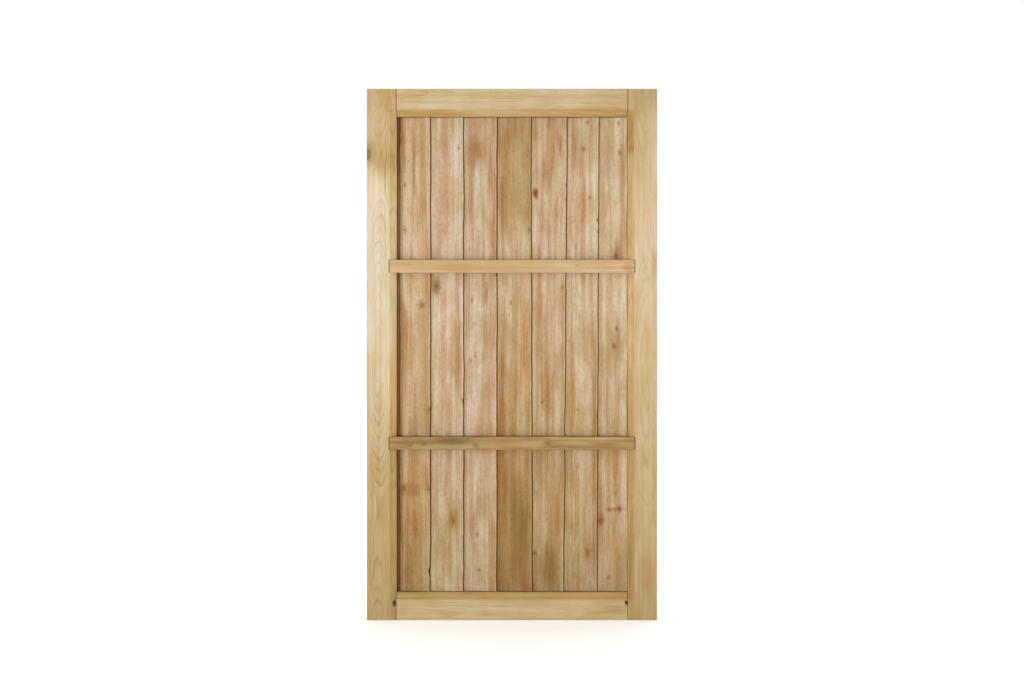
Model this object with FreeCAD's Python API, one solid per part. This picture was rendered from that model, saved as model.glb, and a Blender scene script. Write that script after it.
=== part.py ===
import FreeCAD, Part
import math
import os

from FreeCAD import Vector

# Framed, ledged and boarded garden gate leaf. Units are mm.
# X runs across the gate, Z up. The ledged back of the gate looks along -Y and the boarded
# front along +Y. The origin is at the middle of the bottom edge.
# "Depth" below is the distance in from the back face of the frame.

# overall
gate_width = 1000.0
gate_height = 1830.0

# frame timbers, as they show from the back
stile_face = 100.5          # outer edge to the opening
rail_face = 92.5
stile_lip = 17.0            # front lip that the boards stand against
rail_lip = 24.0
lip_thickness = 7.0
arris_radius = 2.5          # rounding of the outer edges
chamfer_width = 22.0        # broad chamfer round the back of the opening
chamfer_depth = 20.0
front_arris = 3.0           # small chamfer round the front of the opening

# ledges
ledge_height = 44.0
ledge_thickness = 21.0
ledge_spacing = 610.0       # between the two centre lines
ledge_drop = 1.5            # the pair sits this far below the middle of the gate
ledge_bearing = 24.5        # length let into each stile
ledge_arris = 1.5
housing_end_gap = 1.0
housing_top_gap = 0.6

# feather-edged boards
board_count = 7
board_lap = 26.0
thick_edge = 8.8
thin_edge = 4.8
board_play = 0.4            # air between two boards where they cross
first_board_gap = 9.0       # open joint beside the left stile
last_board_gap = 1.0
board_end_gap = 1.5
depth_step = 0.1            # the rebate's depth is rounded up to this
# sideways drift of each joint between two boards, at the foot and at the head of the gate
joint_drift = [(-6.0, -5.0), (-3.5, -3.5), (-1.0, -0.5), (9.5, 4.5), (5.0, 17.0), (7.5, 14.5)]

# mortise and tenon joints
tenon_thickness = 15.0
tenon_edge_wood = 20.0      # from the rail's outer edge to the tenon
tenon_chamfer_wood = 2.0    # from the tenon to the foot of the chamfer
wedge_length = 50.0
wedge_thickness = 4.5
wedge_tip = 0.6
dowel_diameter = 9.5
dowel_back_wood = 6.0       # wood left behind a blind dowel
dowel_inset = 26.0          # from the shoulder to the first dowel, and from the edge to the last

# nails and pins: shank diameter, head diameter, head thickness
ledge_nail = (2.8, 6.0, 1.3)
board_nail = (2.2, 5.0, 1.1)
end_pin = (1.8, 3.6, 0.8)
nail_back_wood = 6.0        # wood left between a nail's point and the far face
pin_point_wood = 1.5
nail_from_lap = 12.0        # from the lap's edge to the nail
nail_pair = 22.0            # between the two nails in one end of a ledge

# worked out from the values above
opening_x = gate_width / 2 - stile_face
lip_x = opening_x - stile_lip
opening_z0 = rail_face
opening_z1 = gate_height - rail_face
tenon_height = rail_face - chamfer_width - tenon_edge_wood - tenon_chamfer_wood
board_pitch = (2 * opening_x - first_board_gap - last_board_gap) / board_count
board_width = board_pitch + board_lap
lap_share = board_lap / (board_pitch + min(joint_drift[0]))     # of the first, narrowest board
board_lift = thin_edge + (thick_edge * lap_share + board_play) / (1 - lap_share)
rebate_depth = math.ceil((ledge_thickness + board_lift + thick_edge) / depth_step) * depth_step
frame_depth = rebate_depth + lip_thickness
ledge_half = opening_x + ledge_bearing
ledge_middles = {
    "upper": (gate_height + ledge_spacing) / 2 - ledge_drop,
    "lower": (gate_height - ledge_spacing) / 2 - ledge_drop,
}


def y_at(depth):
    return depth - frame_depth / 2


def block(x0, x1, depth0, depth1, z0, z1):
    corner = Vector(x0, y_at(depth0), z0)
    return Part.makeBox(x1 - x0, depth1 - depth0, z1 - z0, corner)


def polygon(points):
    return Part.makePolygon(points + points[:1])


def rectangle(half_x, z0, z1, depth):
    y = y_at(depth)
    return polygon([Vector(-half_x, y, z0), Vector(half_x, y, z0),
                    Vector(half_x, y, z1), Vector(-half_x, y, z1)])


def mitred_cutter(width, deep, half_x, z0, z1, face_depth, inward):
    """Splayed block that leaves one chamfer, mitred at the corners, round an opening."""
    past = 1.0
    outer = width + past * width / deep
    first = rectangle(half_x + outer, z0 - outer, z1 + outer, face_depth - inward * past)
    second = rectangle(half_x, z0, z1, face_depth + inward * deep)
    return Part.makeLoft([first, second], True, True)


def rounded(shape, radius, wanted):
    edges = [edge for edge in shape.Edges if wanted(edge.CenterOfMass)]
    return shape.makeFillet(radius, edges)


def fastener(x, z, head_depth, point_depth, sizes, from_front):
    """A nail along Y, its head's outer face at head_depth."""
    shank, head, head_thickness = sizes
    way = -1 if from_front else 1
    direction = Vector(0, way, 0)
    base = Vector(x, y_at(head_depth), z)
    under = Vector(x, y_at(head_depth + way * head_thickness), z)
    length = abs(point_depth - head_depth) - head_thickness
    cap = Part.makeCylinder(head / 2, head_thickness, base, direction)
    shaft = Part.makeCylinder(shank / 2, length, under, direction)
    return cap.fuse(shaft).removeSplitter().Solids[0]


def chamfer_cutters():
    back = mitred_cutter(chamfer_width, chamfer_depth, opening_x, opening_z0, opening_z1, 0.0, 1)
    front = mitred_cutter(front_arris, front_arris, lip_x, rail_face + rail_lip,
                          gate_height - rail_face - rail_lip, frame_depth, -1)
    return [back, front]


def at_end(z0, z1, end):
    """A height range at the gate's foot, or the same range measured down from its head."""
    return (z0, z1) if end == "bottom" else (gate_height - z1, gate_height - z0)


def tenon(side, end):
    depth0 = (frame_depth - tenon_thickness) / 2
    z0, z1 = at_end(tenon_edge_wood, tenon_edge_wood + tenon_height, end)
    x0, x1 = sorted([side * opening_x, side * gate_width / 2])
    return block(x0, x1, depth0, depth0 + tenon_thickness, z0, z1)


def wedges(side, end):
    """The two wedges driven into the outer end of one mortise, above and below its tenon."""
    y0 = y_at((frame_depth - tenon_thickness) / 2)
    z0, z1 = at_end(tenon_edge_wood, tenon_edge_wood + tenon_height, end)
    outside = side * gate_width / 2
    inside = outside - side * wedge_length
    result = []
    for z, way in [(z0, -1), (z1, 1)]:
        outline = polygon([Vector(outside, y0, z), Vector(inside, y0, z),
                           Vector(inside, y0, z + way * wedge_tip),
                           Vector(outside, y0, z + way * wedge_thickness)])
        result.append(Part.Face(outline).extrude(Vector(0, tenon_thickness, 0)))
    return result


def dowels(side, end):
    """Two blind dowels through one joint, put in from the front, one high and one low."""
    z0, z1 = at_end(tenon_edge_wood, tenon_edge_wood + tenon_height, end)
    length = frame_depth - dowel_back_wood
    places = [(opening_x + dowel_inset, z0 + 0.7 * (z1 - z0)),
              (gate_width / 2 - dowel_inset, z0 + 0.3 * (z1 - z0))]
    return [Part.makeCylinder(dowel_diameter / 2, length, Vector(side * x, y_at(frame_depth), z),
                              Vector(0, -1, 0)) for x, z in places]


def ledge(name):
    z0 = ledge_middles[name] - ledge_height / 2
    bar = block(-ledge_half, ledge_half, 0, ledge_thickness, z0, z0 + ledge_height)
    return rounded(bar, ledge_arris, lambda middle: abs(middle.x) < 1)


def ledge_end_nails(name):
    """Nails from the front of each stile into the ledge end that lies in its housing."""
    x = opening_x + ledge_bearing / 2
    heights = [ledge_middles[name] - nail_pair / 2, ledge_middles[name] + nail_pair / 2]
    return [fastener(side * x, z, frame_depth, nail_back_wood, ledge_nail, True)
            for side in (-1, 1) for z in heights]


def housing(side, name):
    z0 = ledge_middles[name] - ledge_height / 2
    x0, x1 = sorted([side * (opening_x - stile_lip - 1), side * (ledge_half + housing_end_gap)])
    return block(x0, x1, -1, ledge_thickness, z0, z0 + ledge_height + housing_top_gap)


def stile(side):
    x0, x1 = sorted([side * lip_x, side * gate_width / 2])
    wood = rounded(block(x0, x1, 0, frame_depth, 0, gate_height), arris_radius,
                   lambda middle: side * middle.x > lip_x + 1)
    r0, r1 = sorted([side * (lip_x - 1), side * opening_x])
    cuts = [block(r0, r1, -1, rebate_depth, -1, gate_height + 1)] + chamfer_cutters()
    for end in ("top", "bottom"):
        cuts += [tenon(side, end)] + wedges(side, end) + dowels(side, end)
    for name in ledge_middles:
        cuts += [housing(side, name)]
        cuts += [nail for nail in ledge_end_nails(name) if side * nail.CenterOfMass.x > 0]
    return wood.cut(cuts)


def rail(end):
    z0, z1 = at_end(0, rail_face + rail_lip, end)
    outside = 0 if end == "bottom" else gate_height
    wood = rounded(block(-opening_x, opening_x, 0, frame_depth, z0, z1), arris_radius,
                   lambda middle: abs(middle.x) < 1 and abs(middle.z - outside) < 1)
    b0, b1 = at_end(rail_face, rail_face + rail_lip + 1, end)
    cuts = [block(-opening_x - 1, opening_x + 1, -1, rebate_depth, b0, b1)] + chamfer_cutters()
    for side in (-1, 1):
        # the shoulder is longer at the back, to fit over the stile's front lip
        s0, s1 = sorted([side * lip_x, side * (opening_x + 1)])
        cuts += [block(s0, s1, rebate_depth, frame_depth + 1, z0 - 1, z1 + 1)]
    wood = wood.cut(cuts)
    for side in (-1, 1):
        wood = wood.fuse(tenon(side, end)).cut(dowels(side, end))
    return wood.cut(end_pins(end)).removeSplitter()


def joint_x(number, end):
    """Where board `number` shows its right edge, at the foot or head; 0 is the left opening."""
    left = -opening_x + first_board_gap
    if number == 0:
        return left
    if number == board_count:
        return opening_x - last_board_gap
    drift = joint_drift[(number - 1) % len(joint_drift)]
    return left + number * board_pitch + drift[0 if end == "bottom" else 1]


def board_span(number, end):
    """Left (thick) and right (thin) edge of a board; the first one has nothing to lap behind."""
    lap = board_lap if number > 1 else 0
    return joint_x(number - 1, end) - lap, joint_x(number, end)


def board_depths(share):
    """Back and front depth of any board, a share of the way from its thick to its thin edge."""
    back = ledge_thickness + board_lift * (1 - share)
    return back, back + thick_edge + (thin_edge - thick_edge) * share


def board_section(number, end):
    left, right = board_span(number, end)
    z = opening_z0 + board_end_gap if end == "bottom" else opening_z1 - board_end_gap
    back0, front0 = board_depths(0)
    back1, front1 = board_depths(1)
    return polygon([Vector(left, y_at(back0), z), Vector(right, y_at(back1), z),
                    Vector(right, y_at(front1), z), Vector(left, y_at(front0), z)])


def board_line(number, z, from_left):
    """Place on a board at height z: x, and the board's back and front depth there."""
    rise = (z - opening_z0) / (opening_z1 - opening_z0)
    low, high = board_span(number, "bottom"), board_span(number, "top")
    left, right = [a + (b - a) * rise for a, b in zip(low, high)]
    back, front = board_depths(from_left / (right - left))
    return left + from_left, back, front


def board_nails(number, name):
    """Two nails from the front, through the board only, into one ledge."""
    z = ledge_middles[name]
    first_x = board_line(number, z, 0)[0]
    last_x = joint_x(number, "bottom") / 2 + joint_x(number, "top") / 2
    places = [board_lap + nail_from_lap, last_x - first_x - board_lap - nail_from_lap]
    result = []
    for from_left in places:
        x, back, front = board_line(number, z, from_left)
        result.append(fastener(x, z, front, nail_back_wood, board_nail, True))
    return result


def end_pins(end, numbers=None):
    """Pins from the back, one through each end of a board into the rail's lip."""
    z = opening_z0 + rail_lip / 2 if end == "bottom" else opening_z1 - rail_lip / 2
    result = []
    for number in numbers or range(1, board_count + 1):
        x, back, front = board_line(number, z, board_lap + nail_from_lap)
        result.append(fastener(x, z, back, frame_depth - pin_point_wood, end_pin, False))
    return result


def board(number):
    wood = Part.makeLoft([board_section(number, "bottom"), board_section(number, "top")],
                         True, True)
    cuts = []
    for name in ledge_middles:
        cuts += board_nails(number, name)
    for end in ("top", "bottom"):
        cuts += end_pins(end, [number])
    return wood.cut(cuts)


def all_board_nails(name):
    return [nail for number in range(1, board_count + 1) for nail in board_nails(number, name)]


def save(name, pieces):
    shape = pieces[0] if len(pieces) == 1 else Part.makeCompound(pieces)
    shape.exportStep("parts/" + name + ".step")
    print(name, len(shape.Solids), "solids, valid", shape.isValid(), round(shape.Volume))


def main():
    os.makedirs("parts", exist_ok=True)
    save("left_stile", [stile(-1)])
    save("right_stile", [stile(1)])
    for end in ("top", "bottom"):
        save(end + "_rail", [rail(end)])
        save(end + "_tenon_wedges", wedges(-1, end) + wedges(1, end))
        save(end + "_joint_dowels", dowels(-1, end) + dowels(1, end))
        save(end + "_board_pins", end_pins(end))
    for name in ledge_middles:
        nails = all_board_nails(name)
        save(name + "_ledge", [ledge(name).cut(nails + ledge_end_nails(name))])
        save(name + "_ledge_nails", ledge_end_nails(name))
        save(name + "_board_nails", nails)
    for number in range(1, board_count + 1):
        save("board_" + str(number), [board(number)])
    print("frame depth", round(frame_depth, 2), "board width", round(board_width, 2))


main()
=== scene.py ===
import math
import bmesh
import bpy
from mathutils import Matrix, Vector, noise


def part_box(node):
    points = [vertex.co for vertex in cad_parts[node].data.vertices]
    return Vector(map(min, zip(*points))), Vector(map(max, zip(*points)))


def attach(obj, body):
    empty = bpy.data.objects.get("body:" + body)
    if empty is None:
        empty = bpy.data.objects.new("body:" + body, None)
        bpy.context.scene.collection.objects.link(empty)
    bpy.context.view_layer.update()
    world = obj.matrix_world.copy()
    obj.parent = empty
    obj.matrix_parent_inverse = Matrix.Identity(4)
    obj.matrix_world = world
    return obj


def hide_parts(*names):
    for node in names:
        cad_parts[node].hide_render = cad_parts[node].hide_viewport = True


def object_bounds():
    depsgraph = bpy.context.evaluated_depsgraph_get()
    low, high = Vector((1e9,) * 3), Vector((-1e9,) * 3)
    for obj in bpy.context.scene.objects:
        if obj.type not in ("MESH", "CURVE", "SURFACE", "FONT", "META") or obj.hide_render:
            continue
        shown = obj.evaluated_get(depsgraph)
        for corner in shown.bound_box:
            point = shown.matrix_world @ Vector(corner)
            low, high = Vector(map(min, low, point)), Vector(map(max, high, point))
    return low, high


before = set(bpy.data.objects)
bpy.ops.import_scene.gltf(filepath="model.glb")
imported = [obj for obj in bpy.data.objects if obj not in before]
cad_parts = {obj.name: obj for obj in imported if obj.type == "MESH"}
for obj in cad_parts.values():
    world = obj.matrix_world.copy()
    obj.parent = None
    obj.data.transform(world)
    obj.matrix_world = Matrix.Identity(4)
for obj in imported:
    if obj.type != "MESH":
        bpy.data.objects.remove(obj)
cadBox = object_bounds()
mm = 0.001
gateBack = cadBox[0][1]              # the ledged face
sharpAngle = math.radians(35)        # faces that meet at more than this keep a hard edge between them
boardNames = sorted(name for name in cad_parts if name.startswith("board_"))
print("frame loaded:", len(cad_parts), "nodes")


def linear(hexCode):
    values = [int(hexCode[i:i + 2], 16) / 255 for i in (1, 3, 5)]
    return [v / 12.92 if v <= 0.04045 else ((v + 0.055) / 1.055) ** 2.4 for v in values] + [1.0]


# settings are the node's own properties; sockets are values, or nodes and sockets to link
def addNode(tree, kind, sockets=None, **settings):
    node = tree.nodes.new(kind)
    for key, value in settings.items():
        setattr(node, key, value)
    for key, value in (sockets or {}).items():
        if isinstance(value, bpy.types.Node):
            value = value.outputs[0]
        if isinstance(value, bpy.types.NodeSocket):
            tree.links.new(value, node.inputs[key])
        else:
            node.inputs[key].default_value = value
    return node


# noise with its own number of patches a metre along each axis
def stretchedNoise(tree, where, patches, **sockets):
    space = addNode(tree, "ShaderNodeVectorMath", {0: where, 1: patches}, operation="MULTIPLY")
    return addNode(tree, "ShaderNodeTexNoise", {"Vector": space, "Scale": 1.0, **sockets})


# each layer is a share, a tint and a way to blend, laid over the colour so far
def layColours(tree, colour, layers):
    for share, tint, blend in layers:
        tint = linear(tint) if isinstance(tint, str) else tint
        colour = addNode(tree, "ShaderNodeMix", {0: share, 6: colour, 7: tint}, data_type="RGBA",
                         blend_type=blend).outputs[2]
    return colour


def newMaterial(name):
    material = bpy.data.materials.new(name)
    material.use_nodes = True
    material.node_tree.nodes.clear()
    return material, material.node_tree


def newGroup(name, kind, inputs, outputs):
    tree = bpy.data.node_groups.new(name, kind)
    for direction, sockets in (("INPUT", inputs), ("OUTPUT", outputs)):
        for label, valueKind in sockets.items():
            tree.interface.new_socket(label, in_out=direction, socket_type="NodeSocket" + valueKind)
    return tree, tree.nodes.new("NodeGroupInput").outputs, tree.nodes.new("NodeGroupOutput")


def setStops(ramp, stops):
    elements = ramp.color_ramp.elements
    elements[0].position, elements[0].color = stops[0]
    elements[1].position, elements[1].color = stops[-1]
    for position, colour in stops[1:-1]:
        elements.new(position).color = colour


# what pine looks like inside, shared by every timber
# grain space is metres: X across the face, Y in from the back face, Z along the grain

# a knot pushes the grain aside, cones the rings up over itself, and has a dark core and a warm halo
def makeKnotGroup():
    tree, given, result = newGroup(
        "knot", "ShaderNodeTree",
        {"plain": "Vector", "grain": "Vector", "lift": "Float", "core": "Float", "halo": "Float",
         "place": "Vector", "size": "Float"},
        {"grain": "Vector", "lift": "Float", "core": "Float", "halo": "Float"})
    size = given["size"]
    ragged = addNode(tree, "ShaderNodeTexNoise", {"Vector": given["plain"], "Scale": 70.0, "Detail": 2.0})
    push = addNode(tree, "ShaderNodeVectorMath", {0: ragged.outputs["Color"], 1: (0.5, 0.5, 0.5)},
                   operation="SUBTRACT")
    offset = addNode(tree, "ShaderNodeVectorMath", {0: given["plain"], 1: given["place"]},
                     operation="SUBTRACT")
    loose = addNode(tree, "ShaderNodeVectorMath", {0: push, 1: (0.012, 0, 0.012), 2: offset},
                    operation="MULTIPLY_ADD")
    oval = addNode(tree, "ShaderNodeVectorMath", {0: loose, 1: (1, 0, 0.62)}, operation="MULTIPLY")
    far = addNode(tree, "ShaderNodeVectorMath", {0: oval}, operation="LENGTH").outputs["Value"]
    reach = addNode(tree, "ShaderNodeMath", {0: far, 1: size}, operation="DIVIDE")
    coreMask = addNode(tree, "ShaderNodeMapRange", {0: reach, 1: 0.75, 2: 1.15, 3: 1.0, 4: 0.0},
                       interpolation_type="SMOOTHSTEP")
    haloMask = addNode(tree, "ShaderNodeMapRange", {0: reach, 1: 0.6, 2: 3.4, 3: 1.0, 4: 0.0},
                       interpolation_type="SMOOTHERSTEP")
    dome = addNode(tree, "ShaderNodeMapRange", {0: reach, 1: 0.0, 2: 3.6, 3: 2.6, 4: 0.0},
                   interpolation_type="SMOOTHERSTEP")
    axes = addNode(tree, "ShaderNodeSeparateXYZ", {0: offset})
    width = addNode(tree, "ShaderNodeMath", {0: axes.outputs["X"]}, operation="ABSOLUTE")
    softWidth = addNode(tree, "ShaderNodeMath", {0: size, 1: 0.35, 2: width}, operation="MULTIPLY_ADD")
    way = addNode(tree, "ShaderNodeMath", {0: axes.outputs["X"], 1: softWidth}, operation="DIVIDE")
    lengthShare = addNode(tree, "ShaderNodeMath", {0: axes.outputs["Z"], 1: size}, operation="DIVIDE")
    lengthFall = addNode(tree, "ShaderNodeMath", {0: lengthShare, 1: lengthShare}, operation="MULTIPLY")
    widthFall = addNode(tree, "ShaderNodeMath", {0: width, 1: size}, operation="DIVIDE")
    fall = addNode(tree, "ShaderNodeMath", {0: lengthFall, 1: 0.3, 2: widthFall},
                   operation="MULTIPLY_ADD")
    fade = addNode(tree, "ShaderNodeMath", {0: fall, 1: -0.45}, operation="MULTIPLY")
    strength = addNode(tree, "ShaderNodeMath", {0: fade}, operation="EXPONENT")
    shove = addNode(tree, "ShaderNodeMath", {0: way, 1: strength}, operation="MULTIPLY")
    shift = addNode(tree, "ShaderNodeMath", {0: shove, 1: size}, operation="MULTIPLY")
    aside = addNode(tree, "ShaderNodeCombineXYZ", {"X": shift})
    grain = addNode(tree, "ShaderNodeVectorMath", {0: given["grain"], 1: aside}, operation="SUBTRACT")
    lift = addNode(tree, "ShaderNodeMath", {0: dome, 1: size, 2: given["lift"]}, operation="MULTIPLY_ADD")
    checks = addNode(tree, "ShaderNodeTexNoise", {"Vector": given["plain"], "Scale": 330.0, "Detail": 2.0})
    split = addNode(tree, "ShaderNodeMapRange", {0: checks, 1: 0.38, 2: 0.56, 3: 0.3, 4: 1.0})
    broken = addNode(tree, "ShaderNodeMath", {0: coreMask, 1: split}, operation="MULTIPLY")
    core = addNode(tree, "ShaderNodeMath", {0: given["core"], 1: broken}, operation="MAXIMUM")
    halo = addNode(tree, "ShaderNodeMath", {0: given["halo"], 1: haloMask}, operation="MAXIMUM")
    for label, source in {"grain": grain, "lift": lift, "core": core, "halo": halo}.items():
        tree.links.new(source.outputs[0], result.inputs[label])
    return tree


# growth rings round a pith that wanders along the timber: straight lines, flames and ovals on the face
def makeRingGroup():
    tree, given, result = newGroup(
        "growthRings", "ShaderNodeTree",
        {"grain": "Vector", "lift": "Float", "pithAcross": "Float", "pithDeep": "Float", "bow": "Float",
         "bowCentre": "Float", "bowLength": "Float", "ringWidth": "Float", "wander": "Float"},
        {"late": "Float"})
    drift = stretchedNoise(tree, given["grain"], (0.8, 0.8, 1.6), Scale=1.4, Detail=2.5, Roughness=0.42)
    swing = addNode(tree, "ShaderNodeVectorMath", {0: drift.outputs["Color"], 1: (0.5, 0.5, 0.5)},
                    operation="SUBTRACT")
    wandered = addNode(tree, "ShaderNodeVectorMath", {0: swing, "Scale": given["wander"]},
                       operation="SCALE")
    moved = addNode(tree, "ShaderNodeVectorMath", {0: given["grain"], 1: wandered}, operation="ADD")
    axes = addNode(tree, "ShaderNodeSeparateXYZ", {0: moved})
    fromCentre = addNode(tree, "ShaderNodeMath", {0: axes.outputs["Z"], 1: given["bowCentre"]},
                         operation="SUBTRACT")
    turns = addNode(tree, "ShaderNodeMath", {0: fromCentre, 1: given["bowLength"]}, operation="DIVIDE")
    angle = addNode(tree, "ShaderNodeMath", {0: turns, 1: 2 * math.pi}, operation="MULTIPLY")
    wave = addNode(tree, "ShaderNodeMath", {0: angle}, operation="COSINE")
    pithDeep = addNode(tree, "ShaderNodeMath", {0: wave, 1: given["bow"], 2: given["pithDeep"]},
                       operation="MULTIPLY_ADD")
    across = addNode(tree, "ShaderNodeMath", {0: axes.outputs["X"], 1: given["pithAcross"]},
                     operation="SUBTRACT")
    deep = addNode(tree, "ShaderNodeMath", {0: axes.outputs["Y"], 1: pithDeep}, operation="SUBTRACT")
    arm = addNode(tree, "ShaderNodeCombineXYZ", {"X": across, "Y": deep})
    radius = addNode(tree, "ShaderNodeVectorMath", {0: arm}, operation="LENGTH").outputs["Value"]
    lifted = addNode(tree, "ShaderNodeMath", {0: radius, 1: given["lift"]}, operation="ADD")
    tremble = stretchedNoise(tree, given["grain"], (30, 30, 5), Detail=3.0)
    uneven = addNode(tree, "ShaderNodeMath", {0: tremble, 1: 0.006, 2: lifted}, operation="MULTIPLY_ADD")
    rings = addNode(tree, "ShaderNodeMath", {0: uneven, 1: given["ringWidth"]}, operation="DIVIDE")
    year = addNode(tree, "ShaderNodeMath", {0: rings}, operation="FLOOR")
    season = addNode(tree, "ShaderNodeMath", {0: rings}, operation="FRACT")
    summer = addNode(tree, "ShaderNodeMapRange", {0: season, 1: 0.15, 2: 0.84, 3: 0.0, 4: 1.0},
                     interpolation_type="SMOOTHSTEP")
    winter = addNode(tree, "ShaderNodeMapRange", {0: season, 1: 0.86, 2: 1.0, 3: 1.0, 4: 0.0},
                     interpolation_type="SMOOTHSTEP")
    band = addNode(tree, "ShaderNodeMath", {0: summer, 1: winter}, operation="MULTIPLY")
    sharp = addNode(tree, "ShaderNodeMath", {0: band, 1: 3.2}, operation="POWER")
    luck = addNode(tree, "ShaderNodeTexWhiteNoise", {"W": year}, noise_dimensions="1D")
    vigour = addNode(tree, "ShaderNodeMapRange", {0: luck, 1: 0.0, 2: 1.0, 3: 0.35, 4: 1.0})
    late = addNode(tree, "ShaderNodeMath", {0: sharp, 1: vigour}, operation="MULTIPLY")
    tree.links.new(late.outputs[0], result.inputs["late"])
    return tree


# a soft-edged patch of another colour, broken up along the grain
def makeStainGroup():
    tree, given, result = newGroup(
        "stain", "ShaderNodeTree",
        {"plain": "Vector", "colour": "Color", "tint": "Color", "place": "Vector", "spread": "Vector",
         "amount": "Float"},
        {"colour": "Color"})
    offset = addNode(tree, "ShaderNodeVectorMath", {0: given["plain"], 1: given["place"]},
                     operation="SUBTRACT")
    share = addNode(tree, "ShaderNodeVectorMath", {0: offset, 1: given["spread"]}, operation="DIVIDE")
    broken = stretchedNoise(tree, given["plain"], (90, 90, 7), Detail=3.0)
    push = addNode(tree, "ShaderNodeVectorMath", {0: broken.outputs["Color"], 1: (0.5, 0.5, 0.5)},
                   operation="SUBTRACT")
    ragged = addNode(tree, "ShaderNodeVectorMath", {0: push, 1: (1.3, 0, 1.3), 2: share},
                     operation="MULTIPLY_ADD")
    flat = addNode(tree, "ShaderNodeVectorMath", {0: ragged, 1: (1, 0, 1)}, operation="MULTIPLY")
    far = addNode(tree, "ShaderNodeVectorMath", {0: flat}, operation="LENGTH").outputs["Value"]
    mask = addNode(tree, "ShaderNodeMapRange", {0: far, 1: 0.25, 2: 1.25, 3: given["amount"], 4: 0.0},
                   interpolation_type="SMOOTHSTEP")
    stained = layColours(tree, given["colour"], [(mask, given["tint"], "MIX")])
    tree.links.new(stained, result.inputs["colour"])
    return tree


knotGroup, ringGroup, stainGroup = makeKnotGroup(), makeRingGroup(), makeStainGroup()

logSpacing = 2.7      # metres of grain space from one timber to the next, so no two share a figure
frameEdge = {"chamferWidth": 22, "rebate": (21, 24), "front": (40, 41)}      # depths are soft-edged

# what each figure of the wood does by default; a piece's own dictionary overrides any of it
# in mm: tones (place along, tint), knots (x, z, radius), stains (x, z, reach in x, reach in z, tint,
# share), and nicks (x, z, size)
pine = {
    "upright": True, "sawn": False, "start": 0, "end": 1830, "log": 0,
    "roughness": (0.5, 0.68), "specular": 0.35, "bumpStrength": 0.3, "bumpDepth": 0.2,
    "lateTint": "#c7a36f", "lateAmount": 0.5,      # latewood lines, times the colour below them
    "streakTint": "#f7eedd",                       # broad soft streaks, the same
    "fibreTint": "#f7f1e6",
    "cloudTint": "#f8f0e0",                        # patches as wide as a finger
    "mottleTint": "#fcf9f4",                       # flecks 5 mm across
    "oliveTint": "#f5f1e0", "blushTint": "#fbf3ea",      # the hue drifts between these
    "coreTint": "#6b4326", "haloTint": "#c9a47a", "haloAmount": 0.45, "coreAmount": 0.75,
    "pithAcross": 0, "pithDeep": 60, "bow": 12, "bowCentre": 300, "bowLength": 900,
    "ringWidth": 5.5, "wander": 30,
    # the rebate tint is painted shade in the rebate behind a chamfer; the arris share is painted shade and
    # dirt by its inner arris
    "knots": [], "stains": [], "rebateShadeTint": "#bfa47c", "arrisShadeAndDirt": 0.0,
}


# what every face shows: a drifting hue, clouds, streaks, fibres, flecks, and lines of latewood
def figureLayers(tree, wood, grain, late, slow):
    # the hue drifts between olive and pink, in patches as wide as a hand
    hue = stretchedNoise(tree, grain, (13, 13, 4.2), Detail=4.0)
    hueShare = addNode(tree, "ShaderNodeMapRange", {0: hue, 1: 0.36, 2: 0.64, 3: 0.0, 4: 1.0},
                       interpolation_type="SMOOTHSTEP")
    drifting = layColours(tree, linear(wood["oliveTint"]), [(hueShare, wood["blushTint"], "MIX")])
    layers = [(1.0, drifting, "MULTIPLY")]

    # clouds about 40 mm wide, streaks of 16 mm and 5 mm, fibres of 1 mm, and flecks of 5 mm
    shown = addNode(tree, "ShaderNodeMapRange", {0: slow, 1: 0.38, 2: 0.62, 3: 0.3, 4: 1.0})
    figure = {}
    for kind, patches, tint, least, most in (("cloud", (26, 26, 8), "cloudTint", 0.32, 0.68),
                                             ("streak", (64, 64, 1.6), "streakTint", 0.36, 0.66),
                                             ("fine", (190, 190, 3.4), "fibreTint", 0.38, 0.68),
                                             ("fibre", (900, 900, 14), "fibreTint", 0.35, 0.75),
                                             ("fleck", (210, 210, 90), "mottleTint", 0.4, 0.7)):
        figure[kind] = stretchedNoise(tree, grain, patches, Detail=2.0, Roughness=0.55)
        amount = addNode(tree, "ShaderNodeMapRange", {0: figure[kind], 1: least, 2: most,
                                                      3: 0.0, 4: 1.0}, interpolation_type="SMOOTHSTEP")
        if kind == "fine":      # the finer streaks come and go
            amount = addNode(tree, "ShaderNodeMath", {0: amount, 1: shown}, operation="MULTIPLY")
        layers.append((amount, wood[tint], "MULTIPLY"))
    lateShown = addNode(tree, "ShaderNodeMath", {0: late, 1: shown}, operation="MULTIPLY")
    lateShare = addNode(tree, "ShaderNodeMath", {0: lateShown, 1: wood["lateAmount"]},
                        operation="MULTIPLY")
    layers.append((lateShare, wood["lateTint"], "MULTIPLY"))
    return layers, figure
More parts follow.
